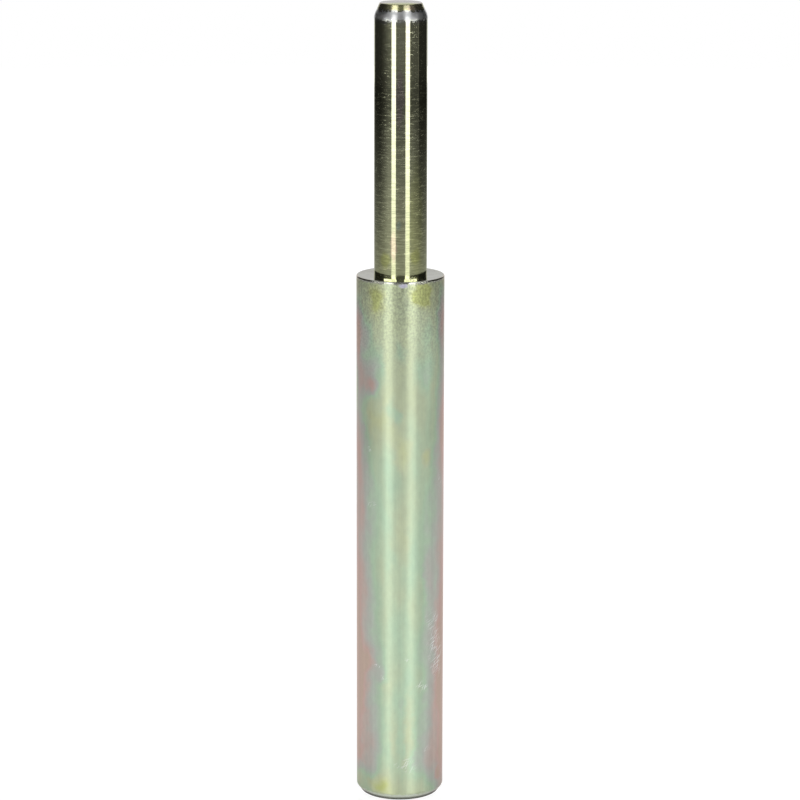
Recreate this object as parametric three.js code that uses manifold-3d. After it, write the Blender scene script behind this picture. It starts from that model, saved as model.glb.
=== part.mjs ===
// Drift punch: a bright round pin pressed into the bored end of a thicker round body, which is
// struck on its other end. Millimetres, +Z up. Both pieces lie on the Z axis, the origin is the
// centre of the striking face, and the pin's tip is at the top.

import * as THREE from "three";
import { mergeVertices } from "three/addons/utils/BufferGeometryUtils.js";
import Module from "manifold-3d";

// Striking body
const bodyDiameter = 25;
const bodyLength = 153; // striking face to shoulder
const strikeChamferWidth = 1.6; // across the radius
const strikeChamferHeight = 2;
const strikeEdgeRound = 0.5; // both edges of the striking end's chamfer
const shoulderRound = 0.6; // rim of the shoulder

// Drift pin
const pinDiameter = 15;
const pinReach = 77; // shoulder to tip
const tipChamferWidth = 1.6; // across the radius
const tipChamferHeight = 3.6;
const tipFaceRound = 0.3; // edge between the tip's flat face and its chamfer
const tipShoulderRound = 4; // soft lower edge of the tip's chamfer

// Press seat, hidden inside the body
const seatDepth = 30; // length of the pin's tail below the shoulder
const pressGap = 0.02; // radial clearance that stands for the press fit
const tailChamfer = 1; // lead-in on the tail, at 45 degrees
const pilotDiameter = 6; // drilled pocket under the seat, which takes the trapped air
const pilotDepth = 4;
const drillPointAngle = 118; // degrees, across the pilot's conical bottom
const ventDepth = 0.4; // flat along the tail that lets air out as the pin goes in
const ventLand = 2; // full-round length left above the flat, so that the mouth stays closed

// Facets
const turnedSides = 96;
const arcSteps = 6;
const weldTolerance = 1e-4;

const bodyRadius = bodyDiameter / 2;
const pinRadius = pinDiameter / 2;
const pinLength = seatDepth + pinReach;
const seatHeight = bodyLength - seatDepth;

const wasm = await Module();
wasm.setup();

// Outline in the half plane of radius and height. A corner is [radius, height, round], and a round
// is an arc that touches both of the corner's sides, limited to half of the shorter one.
function outlineOf(corners) {
  const points = corners.map(([radius, height]) => new THREE.Vector2(radius, height));
  return points.flatMap((corner, i) => {
    const round = corners[i][2];
    return round ? roundAt(points[i - 1], corner, points[i + 1], round) : [corner];
  });
}

function roundAt(before, corner, after, round) {
  const back = before.clone().sub(corner);
  const ahead = after.clone().sub(corner);
  const longestReach = Math.min(back.length(), ahead.length()) / 2;
  back.normalize();
  ahead.normalize();
  const halfAngle = Math.acos(back.dot(ahead)) / 2;
  const reach = Math.min(round / Math.tan(halfAngle), longestReach);
  const radius = reach * Math.tan(halfAngle);
  const towardsCentre = back.clone().add(ahead).normalize();
  const centre = corner.clone().addScaledVector(towardsCentre, radius / Math.sin(halfAngle));
  const start = corner.clone().addScaledVector(back, reach).sub(centre);
  const end = corner.clone().addScaledVector(ahead, reach).sub(centre);
  const clockwise = back.cross(ahead) > 0;
  const arc = new THREE.ArcCurve(centre.x, centre.y, radius, start.angle(), end.angle(), clockwise);
  return arc.getPoints(arcSteps);
}

// Shared vertices merged, and the empty triangles at the axis dropped.
function welded(geometry) {
  geometry.deleteAttribute("normal");
  geometry.deleteAttribute("uv");
  const merged = mergeVertices(geometry, weldTolerance);
  const index = merged.getIndex().array;
  const kept = [];
  for (let i = 0; i < index.length; i += 3) {
    const corners = [index[i], index[i + 1], index[i + 2]];
    if (new Set(corners).size === corners.length) {
      kept.push(...corners);
    }
  }
  merged.setIndex(kept);
  return merged;
}

// Solid of revolution about Z.
function turned(corners) {
  const lathe = new THREE.LatheGeometry(outlineOf(corners), turnedSides);
  lathe.rotateX(Math.PI / 2);
  return welded(lathe);
}

function solidOf(geometry) {
  const vertProperties = new Float32Array(geometry.getAttribute("position").array);
  const triVerts = new Uint32Array(geometry.getIndex().array);
  return new wasm.Manifold(new wasm.Mesh({ numProp: 3, vertProperties, triVerts }));
}

function geometryOf(solid) {
  const mesh = solid.getMesh();
  const geometry = new THREE.BufferGeometry();
  geometry.setAttribute("position", new THREE.BufferAttribute(mesh.vertProperties, mesh.numProp));
  geometry.setIndex(new THREE.BufferAttribute(mesh.triVerts, 1));
  return geometry;
}

function cut(geometry, tool) {
  return geometryOf(solidOf(geometry).subtract(solidOf(tool)));
}

// Body: chamfered striking end, straight side, flat shoulder, and the bore with its pilot pocket.
function strikingBodyGeometry() {
  const boreRadius = pinRadius + pressGap;
  const pilotRadius = pilotDiameter / 2;
  const pilotFloor = seatHeight - pilotDepth;
  const pointHeight = pilotRadius / Math.tan(THREE.MathUtils.degToRad(drillPointAngle / 2));
  return turned([
    [0, 0],
    [bodyRadius - strikeChamferWidth, 0, strikeEdgeRound],
    [bodyRadius, strikeChamferHeight, strikeEdgeRound],
    [bodyRadius, bodyLength, shoulderRound],
    [boreRadius, bodyLength],
    [boreRadius, seatHeight],
    [pilotRadius, seatHeight],
    [pilotRadius, pilotFloor],
    [0, pilotFloor - pointHeight],
  ]);
}

// Pin: the tail's end face is at height zero, and a vent flat runs along the tail's far side.
function driftPinGeometry() {
  const pin = turned([
    [0, 0],
    [pinRadius - tailChamfer, 0],
    [pinRadius, tailChamfer],
    [pinRadius, pinLength - tipChamferHeight, tipShoulderRound],
    [pinRadius - tipChamferWidth, pinLength, tipFaceRound],
    [0, pinLength],
  ]);
  const ventTop = seatDepth - ventLand;
  const vent = new THREE.BoxGeometry(pinDiameter, pinDiameter, 2 * ventTop);
  vent.translate(0, pinRadius - ventDepth + pinDiameter / 2, 0);
  return cut(pin, welded(vent));
}

function piece(name, geometry, finish) {
  geometry.computeVertexNormals();
  const mesh = new THREE.Mesh(geometry, new THREE.MeshStandardMaterial(finish));
  mesh.name = name;
  return mesh;
}

const satinZinc = { color: 0xafbfa0, roughness: 0.5, metalness: 0.8 };
const brightZinc = { color: 0xc4c6a8, roughness: 0.15, metalness: 1 };

const strikingBody = piece("striking_body", strikingBodyGeometry(), satinZinc);
const driftPin = piece("drift_pin", driftPinGeometry(), brightZinc);
driftPin.position.z = seatHeight;

const driftPunch = new THREE.Group();
driftPunch.name = "drift_punch";
driftPunch.add(strikingBody, driftPin);

export default driftPunch;
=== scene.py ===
import math

import bmesh
import bpy
from mathutils import Matrix, Quaternion, Vector


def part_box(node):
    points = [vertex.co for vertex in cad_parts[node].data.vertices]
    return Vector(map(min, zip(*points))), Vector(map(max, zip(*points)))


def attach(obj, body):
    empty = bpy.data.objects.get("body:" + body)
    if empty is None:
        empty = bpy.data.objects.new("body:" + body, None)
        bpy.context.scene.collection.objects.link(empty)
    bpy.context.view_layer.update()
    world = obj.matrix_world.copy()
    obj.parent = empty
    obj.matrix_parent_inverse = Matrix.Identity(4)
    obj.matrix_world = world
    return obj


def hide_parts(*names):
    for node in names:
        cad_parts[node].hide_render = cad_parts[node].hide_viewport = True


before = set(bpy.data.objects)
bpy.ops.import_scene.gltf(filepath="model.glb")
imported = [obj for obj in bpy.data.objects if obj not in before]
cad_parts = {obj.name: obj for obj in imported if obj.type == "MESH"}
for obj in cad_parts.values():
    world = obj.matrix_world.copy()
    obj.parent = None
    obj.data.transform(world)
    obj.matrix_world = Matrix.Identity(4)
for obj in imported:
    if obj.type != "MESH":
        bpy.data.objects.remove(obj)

scene = bpy.context.scene
scene.view_settings.view_transform = "Standard"
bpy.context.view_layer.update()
bodyLow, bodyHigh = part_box("striking_body")
pinLow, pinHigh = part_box("drift_pin")
shoulderHeight = bodyHigh.z
white = (1, 1, 1, 1)
black = (0, 0, 0, 1)


# Camera with a long lens, a little above the punch
cameraSet = {
    "lens": 155.33,                      # mm on a 36 mm sensor
    "sensor": 36.0,
    "distance": 0.9863,                  # metres from the aim point
    "pitch": 12.642,                     # degrees down
    "aim": (-0.00007, 0.0, 0.11642),
    "roll": 0.098,                       # degrees, the picture leans this much
}


def makeCamera(settings):
    data = bpy.data.cameras.new("shotCamera")
    data.lens = settings["lens"]
    data.sensor_width = settings["sensor"]
    camera = bpy.data.objects.new("shotCamera", data)
    scene.collection.objects.link(camera)
    pitch = math.radians(settings["pitch"])
    back = Vector((0.0, -math.cos(pitch), math.sin(pitch)))
    camera.location = Vector(settings["aim"]) + back * settings["distance"]
    level = (-back).to_track_quat("-Z", "Y")
    lean = Quaternion((0, 0, 1), math.radians(settings["roll"]))
    camera.rotation_euler = (level @ lean).to_euler()
    scene.camera = camera


makeCamera(cameraSet)
print("camera placed")


# Node helpers: a socket given as an input is linked, and anything else is set on it
def addNode(tree, kind, inputs=None, **attributes):
    made = tree.nodes.new(kind)
    for name, value in attributes.items():
        setattr(made, name, value)
    for socket, value in (inputs or {}).items():
        if isinstance(value, bpy.types.NodeSocket):
            tree.links.new(value, made.inputs[socket])
        else:
            made.inputs[socket].default_value = value
    return made


# One operation on a value, or from left to right on several
def mathNode(tree, operation, first, *others):
    for other in others or (0.0,):
        first = addNode(tree, "ShaderNodeMath", {0: first, 1: other}, operation=operation).outputs[0]
    return first


def times(tree, *factors):
    return mathNode(tree, "MULTIPLY", *factors)


def plus(tree, *terms):
    return mathNode(tree, "ADD", *terms)


def largest(tree, *values):
    return mathNode(tree, "MAXIMUM", *values)


def opaque(colour):
    return (*colour, 1.0)


def mixed(tree, factor, first, second, blend="MIX"):
    return addNode(tree, "ShaderNodeMix", {0: factor, 6: first, 7: second},
                   data_type="RGBA", blend_type=blend).outputs[2]


def toned(tree, colour, level):
    return mixed(tree, 1.0, colour, level, "MULTIPLY")


def between(tree, value, low, high, toLow=0.0, toHigh=1.0, kind="SMOOTHSTEP"):
    return addNode(tree, "ShaderNodeMapRange", {"Value": value, "From Min": low, "From Max": high,
                                                "To Min": toLow, "To Max": toHigh},
                   interpolation_type=kind).outputs[0]


def ramp(tree, factor, stops):
    made = addNode(tree, "ShaderNodeValToRGB", {"Fac": factor})
    elements = made.color_ramp.elements
    while len(elements) < len(stops):
        elements.new(1.0)
    for element, (place, colour) in zip(elements, stops):
        element.position = place
        element.color = opaque(colour if isinstance(colour, tuple) else (colour,) * 3)
    return made.outputs["Color"]


noiseRange = (0.3, 0.7)                  # most of a noise lies between these levels


def noise(tree, place, scale, detail=2.0, roughness=0.5):
    stretched = addNode(tree, "ShaderNodeMapping", {"Vector": place, "Scale": scale}).outputs[0]
    made = addNode(tree, "ShaderNodeTexNoise", {"Vector": stretched, "Scale": 1.0, "Detail": detail,
                                                "Roughness": roughness})
    return made.outputs["Fac"]


def spread(tree, level, toLow, toHigh):
    return between(tree, level, *noiseRange, toLow, toHigh, "LINEAR")


# Places pushed about by a noise, so that what is drawn on them gets ragged edges: per metre, and metres
def wavy(tree, place, scale, amount):
    stir = addNode(tree, "ShaderNodeTexNoise", {"Vector": place, "Scale": scale, "Detail": 2.0})
    offset = addNode(tree, "ShaderNodeVectorMath", {0: stir.outputs["Color"], 1: (0.5, 0.5, 0.5)},
                     operation="SUBTRACT")
    return addNode(tree, "ShaderNodeVectorMath", {0: offset.outputs[0], 1: (amount,) * 3, 2: place},
                   operation="MULTIPLY_ADD").outputs[0]


def partOf(tree, place, axis):
    return addNode(tree, "ShaderNodeSeparateXYZ", {0: place}).outputs[axis]


patchDepth = 0.006                       # metres into the metal, at least, to stay whole on the curve
patchDepthShare = 0.75                   # of a wide patch's half width


# Soft patch on a round side: degrees from the front, height, half width and half height in metres
def patchMask(tree, place, radius, turn, height, wide, tall, soft=0.6):
    angle = math.radians(turn)
    centre = (radius * math.sin(angle), -radius * math.cos(angle), height)
    size = (wide, max(patchDepth, patchDepthShare * wide), tall)
    local = addNode(tree, "ShaderNodeMapping", {"Vector": place, "Location": centre,
                                                "Rotation": (0, 0, angle), "Scale": size},
                    vector_type="TEXTURE").outputs[0]
    near = addNode(tree, "ShaderNodeTexGradient", {"Vector": local}, gradient_type="SPHERICAL")
    return between(tree, near.outputs["Fac"], 0.0, soft)


def patched(tree, place, colour, radius, patches, tints):
    for tint, strength, *shape in patches:
        mask = times(tree, patchMask(tree, place, radius, *shape), strength)
        colour = mixed(tree, mask, colour, opaque(tints[tint]))
    return colour


# Turn round the axis as a share of a full turn, 0.5 at the front
def turnFactor(tree, place):
    parts = addNode(tree, "ShaderNodeSeparateXYZ", {0: place}).outputs
    turn = mathNode(tree, "ARCTAN2", parts["X"], times(tree, parts["Y"], -1.0))
    return plus(tree, mathNode(tree, "DIVIDE", turn, math.tau), 0.5)


def newMaterial(name):
    material = bpy.data.materials.new(name)
    material.use_nodes = True
    tree = material.node_tree
    return material, tree, tree.nodes.get("Principled BSDF")


def placeOn(tree):
    return addNode(tree, "ShaderNodeTexCoord").outputs["Object"]


def bumped(tree, shader, height, distance=1.0):
    bump = addNode(tree, "ShaderNodeBump", {"Strength": 1.0, "Distance": distance, "Height": height})
    tree.links.new(bump.outputs[0], shader.inputs["Normal"])


# Turned pieces
turningSet = {
    "weld": 1e-6,                        # metres
    "snap": 1e-7,                        # metres from a cutting plane
    "ringNear": 2e-5,                    # metres from a ring's radius and height
    "flatFrom": 0.999,                   # faces that look this straight up or down stay flat
}


def turnedBmesh(outline, steps):
    bm = bmesh.new()
    points = [bm.verts.new((radius, 0.0, height)) for radius, height in outline]
    for first, second in zip(points, points[1:]):
        bm.edges.new((first, second))
    bmesh.ops.spin(
        bm, geom=bm.verts[:] + bm.edges[:], cent=(0, 0, 0), axis=(0, 0, 1), dvec=(0, 0, 0),
        angle=math.tau, steps=steps, use_merge=True, use_duplicate=False,
    )
    bmesh.ops.remove_doubles(bm, verts=bm.verts[:], dist=turningSet["weld"])
    bmesh.ops.recalc_face_normals(bm, faces=bm.faces[:])
    return bm


def ringEdges(bm, radius, height):
    near = turningSet["ringNear"]

    def onRing(vert):
        return abs(vert.co.xy.length - radius) < near and abs(vert.co.z - height) < near
    return [edge for edge in bm.edges if onRing(edge.verts[0]) and onRing(edge.verts[1])]


def breakEdge(bm, radius, height, width, segments):
    bmesh.ops.bevel(
        bm, geom=ringEdges(bm, radius, height), offset=width, offset_type="OFFSET", affect="EDGES",
        segments=segments, profile=0.5, material=-1,
    )


def sliced(bm, point, normal, **options):
    return bmesh.ops.bisect_plane(
        bm, geom=bm.verts[:] + bm.edges[:] + bm.faces[:], dist=turningSet["snap"],
        plane_co=point, plane_no=normal, **options,
    )


def addRings(bm, heights):
    for height in heights:
        sliced(bm, (0, 0, height), (0, 0, 1))


def finishPiece(bm, name, materials):
    mesh = bpy.data.meshes.new(name)
    bm.to_mesh(mesh)
    bm.free()
    for face in mesh.polygons:
        face.use_smooth = abs(face.normal.z) < turningSet["flatFrom"]
    for material in materials:
        mesh.materials.append(material)
    piece = bpy.data.objects.new(name, mesh)
    scene.collection.objects.link(piece)
    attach(piece, "root")
    print(name, "made,", len(mesh.polygons), "faces")
    return piece


# Bright pin: ground round and round, pale yellow-green towards its foot, scuffed below its tip.
# Scales are per metre, a stir is per metre and metres, and levels are those of a noise.
brightSet = {
    "colours": [                             # share of the height above the shoulder, colour
        (0.0, (0.61, 0.635, 0.37)), (0.4, (0.68, 0.70, 0.46)), (0.9, (0.72, 0.73, 0.49)),
    ],
    "stir": (500.0, 0.0016),
    "anisotropy": 0.7,
    "roughness": (0.0, 0.6, 0.085, 0.05),    # from and to as shares of the height, and roughness there
    "lineScale": (330.0, 330.0, 2300.0),     # short lines round the pin
    "lineFade": (0.0, 0.75, 1.0, 0.65),      # from and to as shares of the height, and strength there
    "lineShade": (0.72, 1.14),
    "lineRoughness": (0.45, 0.75, 0.0, 0.11),    # levels from and to, and roughness added there
    "lineDepth": 2e-6,
    "dashScale": (800.0, 800.0, 2600.0),
    "dashLevels": (0.63, 0.70),              # where a dash starts and is full
    "ringScratch": 0.1991,                   # height of one stray ring
    "ringWidth": (0.00004, 0.00012),         # from its middle, full and gone
    "ringBreakScale": (300.0, 300.0, 10.0),
    "ringBreaks": (0.35, 0.6, 0.1, 0.55),    # levels from and to, and the ring's strength there
    "scratchRoughness": 0.14,                # added on the dashes and the ring
    "chamferColour": (0.78, 0.75, 0.44),
    "chamferStain": (0.50, 0.46, 0.30),
    "stainScale": (260.0, 260.0, 260.0),
    "stainLevels": (0.42, 0.66),             # where a stain starts and is full
    "chamferRoughness": 0.24,
    "faceColour": (0.70, 0.65, 0.63),
    "faceEdge": (2e-4, 4e-5),                # below the tip, where the face's colour starts and is full
    "wornColour": (0.62, 0.63, 0.63),
    "wornBand": (0.0062, 0.0036, 0.0022, 0.0013),    # below the tip: starts, is full, wanes, ends
    "wornStir": (1100.0, 0.0020),
    "wornRoughness": (0.35, 0.65, 0.28, 0.54),   # levels of the lines from and to, and roughness there
    "dentScale": (1500.0, 1500.0, 2600.0),
    "dentDepth": 9e-6,
    "tints": {
        "mauve": (0.66, 0.52, 0.55),
        "lime": (0.68, 0.72, 0.27),
        "peach": (0.76, 0.62, 0.45),
        "teal": (0.46, 0.68, 0.62),
    },
    "patches": [                             # tint, strength, turn, height, half width, half height
        ("mauve", 0.6, -2, 0.204, 0.0017, 0.011),
        ("lime", 0.45, 36, 0.170, 0.0032, 0.022),
        ("lime", 0.8, -36, 0.158, 0.0024, 0.003),
        ("lime", 0.8, 34, 0.159, 0.0024, 0.003),
        ("peach", 0.7, -15, 0.162, 0.0012, 0.006),
        ("teal", 0.4, -3, 0.1683, 0.0010, 0.002),
    ],
    "chamferPatches": [
        ("peach", 0.9, 27, 0.2284, 0.0016, 0.0016),
        ("lime", 0.5, 0, 0.2286, 0.0012, 0.0020),
    ],
    "chamferInset": 0.0007,                  # metres from the pin's side in to the chamfer's patches
    "facePatches": [("lime", 0.75, 0, 0.230, 0.0075, 0.002)],
    "facePatchReach": 0.0055,                # metres from the axis
}


def makeBrightZinc(settings):
    material, tree, shader = newMaterial("brightZinc")
    place = placeOn(tree)
    height = partOf(tree, place, "Z")
    up = between(tree, height, shoulderHeight, pinHigh.z, kind="LINEAR")
    stirred = wavy(tree, place, *settings["stir"])
    lines = noise(tree, place, settings["lineScale"], detail=3.0, roughness=0.6)
    lined = between(tree, up, *settings["lineFade"])
    colour = ramp(tree, up, settings["colours"])
    colour = patched(tree, stirred, colour, pinHigh.x, settings["patches"], settings["tints"])
    shade = spread(tree, lines, *settings["lineShade"])
    colour = mixed(tree, lined, colour, toned(tree, colour, shade))

    # tip: stained chamfer, scuffed band under it, plain end face
    low, lowFull, highFull, high = (pinHigh.z - drop for drop in settings["wornBand"])
    ragged = partOf(tree, wavy(tree, place, *settings["wornStir"]), "Z")
    band = times(tree, between(tree, ragged, low, lowFull), between(tree, ragged, highFull, high, 1.0, 0.0))
    stain = noise(tree, place, settings["stainScale"], detail=3.0)
    stain = between(tree, stain, *settings["stainLevels"])
    chamfer = mixed(tree, stain, opaque(settings["chamferColour"]), opaque(settings["chamferStain"]))
    chamfer = patched(tree, place, chamfer, pinHigh.x - settings["chamferInset"],
                      settings["chamferPatches"], settings["tints"])
    colour = mixed(tree, between(tree, height, highFull, high), colour, chamfer)
    colour = mixed(tree, band, colour, opaque(settings["wornColour"]))
    face = patched(tree, stirred, opaque(settings["faceColour"]), settings["facePatchReach"],
                   settings["facePatches"], settings["tints"])
    faceStart, faceFull = (pinHigh.z - drop for drop in settings["faceEdge"])
    colour = mixed(tree, between(tree, height, faceStart, faceFull), colour, face)
    tree.links.new(colour, shader.inputs["Base Color"])

    # roughness: ground lines, short dashes and one ring, with a duller chamfer and band
    dashes = noise(tree, place, settings["dashScale"], detail=1.0)
    dashes = times(tree, between(tree, dashes, *settings["dashLevels"]), lined)
    fromRing = mathNode(tree, "ABSOLUTE", mathNode(tree, "SUBTRACT", height, settings["ringScratch"]))
    broken = between(tree, noise(tree, place, settings["ringBreakScale"]), *settings["ringBreaks"])
    ring = times(tree, between(tree, fromRing, *settings["ringWidth"], 1.0, 0.0), broken)
    scratched = times(tree, largest(tree, dashes, ring), settings["scratchRoughness"])
    lineRoughness = times(tree, between(tree, lines, *settings["lineRoughness"]), lined)
    ground = plus(tree, lineRoughness, between(tree, up, *settings["roughness"]))
    sloped = between(tree, height, highFull, high, 0.0, settings["chamferRoughness"])
    scuffed = times(tree, band, band, between(tree, lines, *settings["wornRoughness"]))
    rough = plus(tree, largest(tree, ground, sloped), scratched)
    tree.links.new(largest(tree, rough, scuffed), shader.inputs["Roughness"])

    dents = noise(tree, place, settings["dentScale"], detail=3.0)
    bumped(tree, shader, plus(tree, times(tree, lines, lined, settings["lineDepth"]),
                              times(tree, dents, band, settings["dentDepth"])))
    upward = addNode(tree, "ShaderNodeCombineXYZ", {2: 1.0}).outputs[0]
    tree.links.new(upward, shader.inputs["Tangent"])
    shader.inputs["Metallic"].default_value = 1.0
    shader.inputs["Anisotropic"].default_value = settings["anisotropy"]
    return material


brightZinc = makeBrightZinc(brightSet)


# Shoulder face: turned in rings from its rim to the pin
turnedSet = {
    "colour": (0.51, 0.51, 0.44),
    "shade": (0.45, 0.44, 0.39),
    "cloudScale": (350.0, 350.0, 350.0),     # per metre
    "cloudLevels": (0.35, 0.7),              # of the noise, where the shade starts and is full
    "roughness": (0.10, 0.14),
    "anisotropy": 0.4,
    "ringScale": 3200.0,                     # per metre
    "ringDepth": 1.5e-7,
}


def makeTurnedZinc(settings):
    material, tree, shader = newMaterial("turnedZinc")
    place = placeOn(tree)
    outward = addNode(tree, "ShaderNodeVectorMath", {0: place, 1: (1.0, 1.0, 0.0)},
                      operation="MULTIPLY").outputs[0]
    reach = addNode(tree, "ShaderNodeVectorMath", {0: outward}, operation="LENGTH").outputs["Value"]
    rings = addNode(tree, "ShaderNodeTexNoise", {"W": reach, "Scale": settings["ringScale"], "Detail": 1.0},
                    noise_dimensions="1D").outputs["Fac"]
    cloud = noise(tree, place, settings["cloudScale"], detail=3.0)
    shaded = between(tree, cloud, *settings["cloudLevels"])
    colour = mixed(tree, shaded, opaque(settings["colour"]), opaque(settings["shade"]))
    tree.links.new(colour, shader.inputs["Base Color"])
    rough = between(tree, cloud, *noiseRange, *settings["roughness"])
    tree.links.new(rough, shader.inputs["Roughness"])
    bumped(tree, shader, rings, settings["ringDepth"])
    tree.links.new(outward, shader.inputs["Tangent"])
    shader.inputs["Metallic"].default_value = 1.0
    shader.inputs["Anisotropic"].default_value = settings["anisotropy"]
    return material


turnedZinc = makeTurnedZinc(turnedSet)


# Nick: a small flat knocked into the shoulder's rim, with bare metal round it
nickSet = {
    "turn": 3.3,                             # degrees from the front
    "lean": 20.0,                            # degrees up from level
    "depth": 0.0001,
    "reach": 0.004,                          # ring below the nick, under which the side is untouched
    "facing": 0.99999,                       # a face whose normal agrees this well is the nick's
    "bareBelow": 0.0011,                     # from the shoulder down to the middle of the bare patch
    "bareHalfSize": (0.0018, 0.0009),
    "stir": (1400.0, 0.0008),                # per metre, and metres
    "colour": (0.58, 0.57, 0.68),
    "roughness": 0.2,                        # added
}


# Satin body: zinc under a thin clear film whose colour drifts from lime through green and grey to pink.
# Scales are per metre, and a stir is per metre and metres.
satinSet = {
    "film": [                                # share of the film's range, colour
        (0.0, (0.56, 0.61, 0.26)), (0.15, (0.61, 0.66, 0.40)), (0.35, (0.575, 0.65, 0.45)),
        (0.5, (0.50, 0.66, 0.48)), (0.62, (0.525, 0.585, 0.505)), (0.72, (0.55, 0.545, 0.495)),
        (0.82, (0.595, 0.515, 0.465)), (0.94, (0.64, 0.47, 0.42)), (1.0, (0.61, 0.475, 0.395)),
    ],
    "byHeight": [                            # share of the body's height, film there
        (0.0, 0.22), (0.03, 0.28), (0.07, 0.46), (0.1, 0.48), (0.36, 0.52), (0.55, 0.48), (0.7, 0.40),
        (0.9, 0.36), (1.0, 0.27),
    ],
    "drifts": [((55.0, 55.0, 22.0), 0.28), ((170.0, 170.0, 60.0), 0.18)],    # scale, film change both ways
    "stir": (260.0, 0.0045),
    "blooms": [                              # film change, turn, height, half width, half height
        (0.58, -82, 0.025, 0.0155, 0.110), (0.70, -75, 0.136, 0.0064, 0.015),
        (0.42, -71, 0.106, 0.0072, 0.018), (0.16, -60, 0.034, 0.0050, 0.016),
        (0.46, -60, 0.1235, 0.0070, 0.009), (0.30, -40, 0.1225, 0.0036, 0.004),
        (0.24, -12, 0.1160, 0.0030, 0.006), (0.20, 0, 0.1330, 0.0026, 0.006),
        (0.14, -60, 0.085, 0.0050, 0.012), (0.16, -66, 0.012, 0.0040, 0.006),
        (0.58, 84, 0.030, 0.0138, 0.115), (0.62, 72, 0.141, 0.0050, 0.016),
        (0.40, 76, 0.112, 0.0066, 0.030), (0.26, -38, 0.129, 0.0060, 0.010),
        (0.10, 64, 0.038, 0.0045, 0.018), (0.30, 62, 0.006, 0.0025, 0.003),
        (0.22, -48, 0.137, 0.0038, 0.007), (0.24, -46, 0.042, 0.0034, 0.007),
        (0.16, 31, 0.126, 0.0050, 0.008), (0.22, 40, 0.066, 0.0036, 0.012),
        (0.20, -2, 0.1145, 0.0022, 0.005), (0.16, -25, 0.0385, 0.0030, 0.004),
        (0.10, 40, 0.012, 0.0040, 0.012), (-0.40, -33, 0.1478, 0.0050, 0.0075),
        (-0.55, 30, 0.1492, 0.0050, 0.0055), (0.10, 36, 0.136, 0.0036, 0.010),
        (-0.20, -38, 0.113, 0.0045, 0.007), (-0.16, 2, 0.104, 0.0036, 0.007),
        (-0.24, 40, 0.102, 0.0026, 0.004), (-0.14, 0, 0.078, 0.0048, 0.018),
        (-0.34, -32, 0.0045, 0.0058, 0.0045), (-0.40, -76, 0.005, 0.0080, 0.008),
        (-0.26, 12, 0.020, 0.0030, 0.020), (-0.12, -6, 0.018, 0.0022, 0.012),
        (0.34, 165, 0.095, 0.0060, 0.030), (-0.20, 140, 0.045, 0.0050, 0.018),
        (0.22, -150, 0.060, 0.0050, 0.020), (-0.18, -130, 0.120, 0.0060, 0.012),
    ],
    "paintedLightAndShade": [                               # painted light and shade: gain of brightness, turn, height, half width, half height
        (0.16, -52, 0.138, 0.0090, 0.018), (0.30, 42, 0.131, 0.0058, 0.024),
        (-0.12, -45, 0.108, 0.0060, 0.016), (0.06, 0, 0.104, 0.0050, 0.014),
        (-0.21, -28, 0.040, 0.0036, 0.100), (-0.20, 27, 0.048, 0.0034, 0.105),
        (-0.18, -82, 0.050, 0.0070, 0.100), (-0.22, 82, 0.040, 0.0070, 0.090),
        (-0.10, 26, 0.126, 0.0034, 0.026),
    ],
    "edgeTint": (1.0, 0.9, 0.88),
    "roughness": (0.285, 0.335),
    "mottleScale": (700.0, 700.0, 420.0),
    "mottleTone": (0.955, 1.045),
    "streakScale": (1500.0, 1500.0, 25.0),   # faint lines along the body
    "streakTone": (0.975, 1.025),
    "grainScale": (1900.0, 1900.0, 1500.0),
    "grainDepth": 4e-5,
    "grainFrom": 0.118,                      # height where the grain starts, full at the shoulder
    "grainLeast": 0.03,                      # share of it below that height
    "grainTone": (0.6, 1.3),
    "grainToneShare": 0.7,
    "scuffColour": (0.86, 0.88, 0.86),
    "scuffRoughness": 0.16,                  # added
    "scratchScale": (260.0, 3600.0, 1.0),    # along and across a scratch
    "scratchLevels": (0.585, 0.645),         # of the noise, where a scratch starts and is full
    "scratchSlants": (62.0, 20.0),           # degrees up from level
    "scuffs": [                              # strength, turn, height, half width, half height
        (1.0, 57, 0.044, 0.0042, 0.011), (0.7, 50, 0.053, 0.0032, 0.005),
        (0.9, 33, 0.0340, 0.0020, 0.0016), (0.8, 42, 0.0154, 0.0016, 0.0014),
        (0.8, 12, 0.0108, 0.0024, 0.0032), (0.5, -2, 0.0110, 0.0018, 0.0014),
        (0.8, -33, 0.0405, 0.0014, 0.0010), (0.7, -22, 0.0380, 0.0012, 0.0008),
        (0.6, 9, 0.0425, 0.0016, 0.0008), (0.6, 66, 0.094, 0.0018, 0.0045),
        (0.6, -45, 0.1040, 0.0010, 0.0008), (0.5, -42, 0.0884, 0.0016, 0.0012),
        (0.7, 118, 0.070, 0.0040, 0.012), (0.7, -160, 0.030, 0.0040, 0.010),
        (0.6, 172, 0.125, 0.0030, 0.010),
    ],
    "wearStir": (900.0, 0.0014),
    "rimColour": (0.70, 0.70, 0.64),
    "rimWear": (0.0011, 0.00044),            # below the shoulder, where the rim's wear starts and is full
    "rimShare": 0.8,
    "baseColour": (0.66, 0.71, 0.64),
    "baseWear": (0.0016, 0.0023),            # above the striking face, where its wear is full and ends
    "baseShare": 0.85,
    "wearPolish": 0.14,                      # roughness taken off at the rim and the base
}


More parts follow.
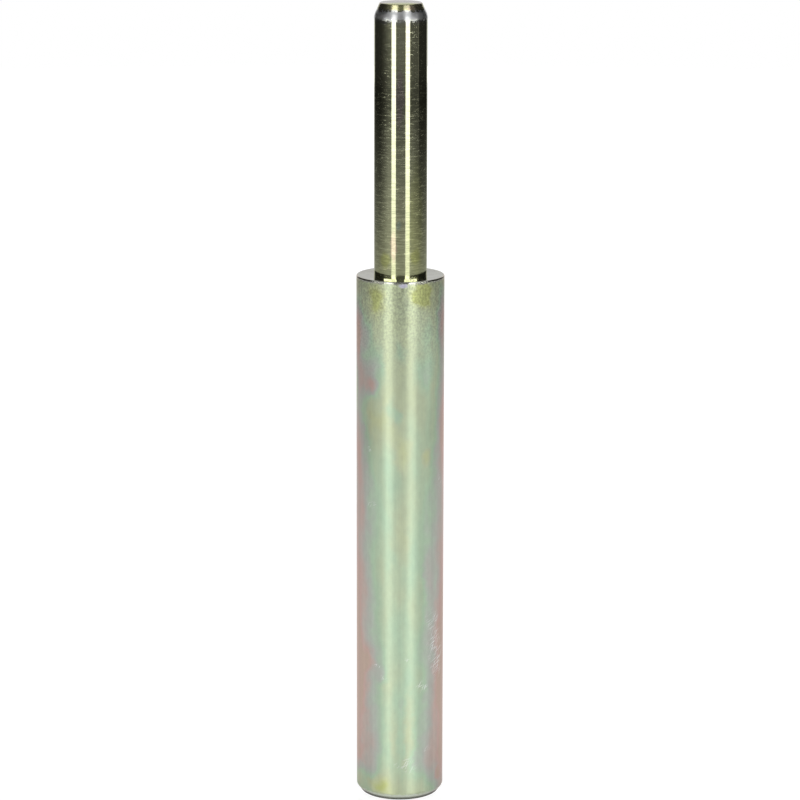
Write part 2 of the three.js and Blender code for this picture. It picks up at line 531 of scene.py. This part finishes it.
def makeSatinZinc(settings, nickSettings):
    material, tree, shader = newMaterial("satinZinc")
    place = placeOn(tree)
    radius = bodyHigh.x
    height = partOf(tree, place, "Z")
    up = mathNode(tree, "DIVIDE", height, shoulderHeight)
    stirred = wavy(tree, place, *settings["stir"])

    # film: set by height, drifting and with blooms, then painted lighter or darker: painted shade in tall
    # bands beside the highlights and at the sides, painted light and shade in smaller patches towards the
    # shoulder
    drifts = [between(tree, noise(tree, place, scale), 0.0, 1.0, -reach, reach, "LINEAR")
              for scale, reach in settings["drifts"]]
    blooms = [times(tree, patchMask(tree, stirred, radius, *shape, soft=1.0), change)
              for change, *shape in settings["blooms"]]
    film = plus(tree, ramp(tree, up, settings["byHeight"]), *drifts, *blooms)
    colour = ramp(tree, film, settings["film"])
    # painted light and shade: brightness gains and dims, not the film's own colour
    paintedLightAndShade = [times(tree, patchMask(tree, place, radius, *shape, soft=1.0), gain)
             for gain, *shape in settings["paintedLightAndShade"]]
    colour = toned(tree, colour, plus(tree, 1.0, *paintedLightAndShade))

    # fine mottling and faint lines, with grain towards the shoulder
    mottle = noise(tree, place, settings["mottleScale"], detail=3.0, roughness=0.6)
    streaks = noise(tree, place, settings["streakScale"], detail=1.0)
    tone = times(tree, spread(tree, mottle, *settings["mottleTone"]),
                 spread(tree, streaks, *settings["streakTone"]))
    colour = toned(tree, colour, tone)
    grain = noise(tree, place, settings["grainScale"])
    grainy = between(tree, height, settings["grainFrom"], shoulderHeight, settings["grainLeast"], 1.0)
    speckled = toned(tree, colour, spread(tree, grain, *settings["grainTone"]))
    colour = mixed(tree, times(tree, grainy, settings["grainToneShare"]), colour, speckled)

    # scuffs: slanting scratches inside soft patches
    arc = times(tree, turnFactor(tree, place), math.tau * radius)
    unrolled = addNode(tree, "ShaderNodeCombineXYZ", {0: arc, 1: height}).outputs[0]
    scratches = []
    for slant in settings["scratchSlants"]:
        lean = (0, 0, -math.radians(slant))
        leaned = addNode(tree, "ShaderNodeMapping", {"Vector": unrolled, "Rotation": lean}).outputs[0]
        fine = noise(tree, leaned, settings["scratchScale"], detail=1.0)
        scratches.append(between(tree, fine, *settings["scratchLevels"]))
    spots = [times(tree, patchMask(tree, stirred, radius, *shape), strength)
             for strength, *shape in settings["scuffs"]]
    scuff = times(tree, largest(tree, *spots), largest(tree, *scratches))
    colour = mixed(tree, scuff, colour, opaque(settings["scuffColour"]))

    # rim, nick and base: plating rubbed pale or off
    ragged = partOf(tree, wavy(tree, place, *settings["wearStir"]), "Z")
    rimStart, rimFull = (shoulderHeight - drop for drop in settings["rimWear"])
    rim = between(tree, ragged, rimStart, rimFull)
    colour = mixed(tree, times(tree, rim, settings["rimShare"]), colour, opaque(settings["rimColour"]))
    nick = patchMask(tree, wavy(tree, place, *nickSettings["stir"]), radius, nickSettings["turn"],
                     shoulderHeight - nickSettings["bareBelow"], *nickSettings["bareHalfSize"])
    colour = mixed(tree, nick, colour, opaque(nickSettings["colour"]))
    base = between(tree, ragged, *settings["baseWear"], 1.0, 0.0)
    colour = mixed(tree, times(tree, base, settings["baseShare"]), colour, opaque(settings["baseColour"]))
    tree.links.new(colour, shader.inputs["Base Color"])

    rough = plus(tree, between(tree, mottle, *noiseRange, *settings["roughness"]),
                 times(tree, scuff, settings["scuffRoughness"]))
    dulled = times(tree, nick, nickSettings["roughness"])
    polished = times(tree, plus(tree, rim, base), settings["wearPolish"])
    rough = plus(tree, rough, mathNode(tree, "SUBTRACT", dulled, polished))
    tree.links.new(rough, shader.inputs["Roughness"])
    bumped(tree, shader, times(tree, grain, grainy), settings["grainDepth"])
    shader.inputs["Metallic"].default_value = 1.0
    shader.inputs["Specular Tint"].default_value = opaque(settings["edgeTint"])
    return material


satinZinc = makeSatinZinc(satinSet, nickSet)
print("finishes mixed")


pinSet = {
    "steps": 192,
    "tailChamfer": 0.001,
    "tipWidth": 0.0016,
    "tipHeight": 0.0036,
    "tipFaceBreak": 0.0003,
    "tipSideBreak": 0.0008,
    "breakSegments": 6,
    "support": 0.0002,                   # ring loops that keep the straight side's shading straight
}


def makePin(settings):
    radius = pinHigh.x
    tail, tip = pinLow.z, pinHigh.z
    tipRadius = radius - settings["tipWidth"]
    tipFoot = tip - settings["tipHeight"]
    bm = turnedBmesh([
        (0.0, tail),
        (radius - settings["tailChamfer"], tail),
        (radius, tail + settings["tailChamfer"]),
        (radius, tipFoot),
        (tipRadius, tip),
        (0.0, tip),
    ], settings["steps"])
    breakEdge(bm, radius, tipFoot, settings["tipSideBreak"], settings["breakSegments"])
    breakEdge(bm, tipRadius, tip, settings["tipFaceBreak"], settings["breakSegments"])
    addRings(bm, (tail + settings["tailChamfer"] + settings["support"],
                  tipFoot - settings["tipSideBreak"] - settings["support"]))
    return finishPiece(bm, "driftPin", [brightZinc])


driftPin = makePin(pinSet)
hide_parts("drift_pin")


bodySet = {
    "steps": 192,
    "strikeWidth": 0.0016,
    "strikeHeight": 0.002,
    "strikeBreak": 0.0004,
    "rimBreak": 0.0004,
    "breakSegments": 6,
    "dish": 0.0002,                      # fall of the shoulder from its rim to the pin
    "shoulderFacing": 0.95,              # faces that look up at least this straight are the shoulder's
    "pressGap": 0.00002,
    "support": 0.0002,
}


def makeBody(settings, nickSettings):
    radius = bodyHigh.x
    bore = pinHigh.x + settings["pressGap"]
    faceRadius = radius - settings["strikeWidth"]
    bm = turnedBmesh([
        (0.0, bodyLow.z),
        (faceRadius, bodyLow.z),
        (radius, settings["strikeHeight"]),
        (radius, shoulderHeight),
        (bore, shoulderHeight - settings["dish"]),
        (bore, pinLow.z),
        (0.0, pinLow.z),
    ], settings["steps"])
    breakEdge(bm, faceRadius, bodyLow.z, settings["strikeBreak"], settings["breakSegments"])
    breakEdge(bm, radius, settings["strikeHeight"], settings["strikeBreak"], settings["breakSegments"])
    breakEdge(bm, radius, shoulderHeight, settings["rimBreak"], settings["breakSegments"])
    addRings(bm, (settings["strikeHeight"] + settings["strikeBreak"] + settings["support"],
                  shoulderHeight - settings["rimBreak"] - settings["support"],
                  shoulderHeight - nickSettings["reach"]))

    lean = math.radians(nickSettings["lean"])
    turn = math.radians(nickSettings["turn"])
    outward = Vector((math.sin(turn) * math.cos(lean), -math.cos(turn) * math.cos(lean), math.sin(lean)))
    farthest = max(vert.co.dot(outward) for vert in bm.verts)
    cut = sliced(bm, outward * (farthest - nickSettings["depth"]), outward, clear_outer=True)
    nickEdges = [item for item in cut["geom_cut"] if isinstance(item, bmesh.types.BMEdge)]
    bmesh.ops.holes_fill(bm, edges=nickEdges)
    bmesh.ops.recalc_face_normals(bm, faces=bm.faces[:])

    piece = finishPiece(bm, "strikingBody", [satinZinc, turnedZinc])
    for face in piece.data.polygons:
        if face.normal.z > settings["shoulderFacing"]:
            face.material_index = 1      # turnedZinc
        if face.normal.dot(outward) > nickSettings["facing"]:
            face.use_smooth = False
    return piece


strikingBody = makeBody(bodySet, nickSet)
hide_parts("striking_body")


# Studio: a round pale table, two tall strip lights beside the camera, and a round room that only metal sees
def stageObject(name, bm, material):
    mesh = bpy.data.meshes.new(name)
    bm.to_mesh(mesh)
    bm.free()
    mesh.materials.append(material)
    made = bpy.data.objects.new(name, mesh)
    scene.collection.objects.link(made)
    return made


def onlyInGloss(made):
    made.visible_camera = False
    made.visible_diffuse = False
    made.visible_shadow = False


def seenPath(tree):
    path = addNode(tree, "ShaderNodeLightPath")
    gloss = plus(tree, path.outputs["Is Glossy Ray"], path.outputs["Is Transmission Ray"])
    return path.outputs["Is Camera Ray"], gloss


# Degrees from the camera's side, as a ramp on turnFactor takes them
def turnStops(levels):
    return [(angle / 360 + 0.5, level) for angle, level in levels]


# The camera sees the table white but for the punch's shadow, and metal sees it fade away from the punch;
# close round the punch metal also sees it darker, a painted shadow of the punch.
# A fade is metres from the punch and brightness, a turn is degrees from the camera's side and a share.
tableSet = {
    "radius": 1.7,
    "segments": 128,
    "colour": 0.8,
    "roughness": 0.15,
    # The first stops of sideFade and stripFade, darker within 8 cm of the punch, are painted shadow round
    # its foot.
    "sideFade": [
        (0.0, 0.76), (0.03, 0.87), (0.08, 1.0), (0.2, 1.0), (0.45, 0.9), (0.6, 0.8), (0.75, 0.64),
        (0.85, 0.38), (0.92, 0.25), (1.0, 0.16), (1.1, 0.09), (1.28, 0.03), (1.5, 0.0),
    ],
    "stripFade": [
        (0.0, 0.76), (0.03, 0.87), (0.08, 1.0), (0.45, 1.0), (0.75, 0.6), (0.92, 0.55), (1.05, 0.4),
        (1.28, 0.21), (1.5, 0.0),
    ],
    "frontFade": [(0.0, 1.0), (0.5, 1.0), (0.72, 0.70), (0.88, 1.0), (1.5, 1.0)],
    "stripTurn": [                       # share of the strips' own fade
        (-180, 0.2), (-100, 0.0), (-75, 0.35), (-55, 1.0), (-38, 1.0), (-14, 0.4), (14, 0.4),
        (38, 0.8), (55, 0.7), (75, 0.25), (95, 0.0), (180, 0.2),
    ],
    "frontTurn": [(-180, 0.0), (-26, 0.0), (-12, 1.0), (12, 1.0), (26, 0.0), (180, 0.0)],
    "nearShadow": [                        # share of the brightness close to the punch, a painted shadow of it
        (-180, 1.0), (-130, 1.0), (-97, 0.92), (-57, 0.82), (-30, 1.0), (30, 1.0), (57, 0.82),
        (97, 0.92), (130, 1.0), (180, 1.0),
    ],
    "nearShadowReach": (0.1, 0.4),             # metres from the punch, where that painted shadow starts to go and is gone
    "footShade": (0.0113, 0.0120, 0.24, 1.0),    # from and to in metres, and brightness, under the punch: painted shadow at its foot
    "cameraGlow": 0.62,                  # with the light on the table, this makes it white
    "glossGlow": 0.55,
}


def makeTable(settings):
    material, tree, shader = newMaterial("tableTop")
    place = placeOn(tree)
    away = addNode(tree, "ShaderNodeVectorMath", {0: place}, operation="LENGTH").outputs["Value"]
    share = mathNode(tree, "DIVIDE", away, settings["radius"])
    sides, strips, front = (
        ramp(tree, share, [(reach / settings["radius"], level) for reach, level in settings[name]])
        for name in ("sideFade", "stripFade", "frontFade"))
    turn = turnFactor(tree, place)
    toStrips, toFront, nearShadowShare = (
        ramp(tree, turn, turnStops(settings[name])) for name in ("stripTurn", "frontTurn", "nearShadow"))
    # painted shadow close round the punch, which the metal mirrors
    near = mixed(tree, between(tree, away, *settings["nearShadowReach"]), nearShadowShare, white)
    fade = toned(tree, mixed(tree, toStrips, sides, strips), near)
    fade = mixed(tree, toFront, fade, toned(tree, fade, front))
    # painted shadow under the punch's foot
    fade = times(tree, fade, between(tree, away, *settings["footShade"]))
    tree.links.new(times(tree, fade, settings["colour"]), shader.inputs["Base Color"])
    shader.inputs["Roughness"].default_value = settings["roughness"]

    camera, gloss = seenPath(tree)
    toCamera = times(tree, camera, between(tree, fade, 0.0, 1.0, 1.0, settings["cameraGlow"], "LINEAR"))
    toGloss = times(tree, gloss, times(tree, fade, settings["glossGlow"]))
    shader.inputs["Emission Color"].default_value = white
    tree.links.new(plus(tree, toCamera, toGloss), shader.inputs["Emission Strength"])
    bm = bmesh.new()
    bmesh.ops.create_circle(bm, cap_ends=True, segments=settings["segments"], radius=settings["radius"])
    stageObject("table", bm, material)


def glowing(name):
    material, tree, shader = newMaterial(name)
    shader.inputs["Base Color"].default_value = black
    shader.inputs["Specular IOR Level"].default_value = 0.0
    shader.inputs["Emission Color"].default_value = white
    return material, tree, shader.inputs["Emission Strength"]


def evenlyGlowing(name, level):
    material, _, strength = glowing(name)
    strength.default_value = level
    return material


stripSet = {
    "azimuth": 30.3,                     # degrees from the camera's side
    "distance": 0.75,
    "width": 0.2456,
    "top": 0.95,
    "levels": [                          # height, brightness
        (0.0, 1.4), (0.03, 1.45), (0.078, 1.75), (0.122, 2.1), (0.32, 2.2), (0.335, 5.0), (0.385, 5.0),
        (0.40, 2.2),
    ],
}


def makeStrips(settings):
    material, tree, strength = glowing("stripPanel")
    top = settings["top"]
    brightest = max(level for _, level in settings["levels"])    # a ramp holds no more than 1
    share = mathNode(tree, "DIVIDE", partOf(tree, placeOn(tree), "Z"), top)
    level = ramp(tree, share, [(height / top, level / brightest) for height, level in settings["levels"]])
    tree.links.new(times(tree, level, brightest), strength)
    bm = bmesh.new()
    upright = Matrix.Rotation(math.pi / 2, 3, "X")
    for side in (-1, 1):
        panel = bmesh.ops.create_grid(bm, x_segments=1, y_segments=1, size=0.5)["verts"]
        bmesh.ops.scale(bm, verts=panel, vec=(settings["width"], top, 1.0))
        bmesh.ops.rotate(bm, verts=panel, cent=(0, 0, 0), matrix=upright)
        bmesh.ops.translate(bm, verts=panel, vec=(0, -settings["distance"], top / 2))
        turn = Matrix.Rotation(math.radians(settings["azimuth"]) * side, 3, "Z")
        bmesh.ops.rotate(bm, verts=panel, cent=(0, 0, 0), matrix=turn)
    stageObject("strips", bm, material).visible_camera = False


def arcWall(radius, low, high, start, end, steps):
    bm = bmesh.new()
    first = math.radians(start - 90.0)       # angles count from the camera's side
    corner = Vector((math.cos(first), math.sin(first), 0.0)) * radius
    bm.edges.new([bm.verts.new(corner + Vector((0, 0, height))) for height in (low, high)])
    bmesh.ops.spin(bm, geom=bm.verts[:] + bm.edges[:], cent=(0, 0, 0), axis=(0, 0, 1), dvec=(0, 0, 0),
                   angle=math.radians(end - start), steps=steps)
    return bm


roomSet = {
    "radius": 1.6,
    "height": 2.2,
    "segments": 128,
    "levels": [                          # degrees from the camera's side, brightness
        (-150, 0.02), (-95, 0.025), (-75, 0.054), (-54, 0.124), (-44, 0.15), (-16, 0.15), (16, 0.15),
        (44, 0.10), (80, 0.085), (81, 0.22), (82.5, 0.22), (83.5, 0.025), (150, 0.02),
    ],
    "opening": 30.0,                     # half angle behind, closed by a pale wall
    "openingSteps": 16,
    "openingLevel": 0.70,
    "ceiling": (-0.1, 0.5, 0.10, 0.55),  # from and to in metres away from the camera, and brightness there
}


def makeWalls(settings):
    size = (settings["radius"], 0.0, settings["height"])
    opening = settings["opening"]
    material, tree, strength = glowing("roomWall")
    tree.links.new(ramp(tree, turnFactor(tree, placeOn(tree)), turnStops(settings["levels"])), strength)
    bm = arcWall(*size, opening - 180, 180 - opening, settings["segments"])
    onlyInGloss(stageObject("room", bm, material))

    material = evenlyGlowing("backWall", settings["openingLevel"])
    bm = arcWall(*size, 180 - opening, 180 + opening, settings["openingSteps"])
    onlyInGloss(stageObject("backWall", bm, material))


# Wings: bright arcs left and right of the camera
wingSet = {
    "distance": 0.9,
    "steps": 16,
    "panels": [                          # name, from and to in degrees, lowest, highest, brightness
        ("Lower", 17.0, 75.0, 0.215, 0.30, 4.5),
        ("Upper", 17.0, 54.0, 0.85, 1.2, 2.0),       # lights the tip's chamfer
    ],
}


def makeWings(settings):
    for name, start, end, low, high, level in settings["panels"]:
        material = evenlyGlowing("wing" + name, level)
        for hand, side in (("Left", -1), ("Right", 1)):
            bm = arcWall(settings["distance"], low, high, side * start, side * end, settings["steps"])
            onlyInGloss(stageObject("wing" + name + hand, bm, material))


def makeCeiling(settings):
    material, tree, strength = glowing("roomCeiling")
    away = partOf(tree, placeOn(tree), "Y")
    tree.links.new(between(tree, away, *settings["ceiling"]), strength)
    bm = bmesh.new()
    bmesh.ops.create_circle(bm, cap_ends=True, segments=settings["segments"], radius=settings["radius"])
    bmesh.ops.translate(bm, verts=bm.verts[:], vec=(0, 0, settings["height"]))
    onlyInGloss(stageObject("ceiling", bm, material))


worldSet = {
    "fill": 0.35,                        # light from all round; the camera and gloss see white
}


def makeWorld(settings):
    world = bpy.data.worlds.new("room")
    scene.world = world
    world.use_nodes = True
    tree = world.node_tree
    camera, gloss = seenPath(tree)
    level = between(tree, plus(tree, camera, gloss), 0.0, 1.0, settings["fill"], 1.0, "LINEAR")
    back = tree.nodes.get("Background")
    back.inputs["Color"].default_value = white
    tree.links.new(level, back.inputs["Strength"])


makeTable(tableSet)
makeStrips(stripSet)
makeWalls(roomSet)
makeWings(wingSet)
makeCeiling(roomSet)
makeWorld(worldSet)
print("studio lit")
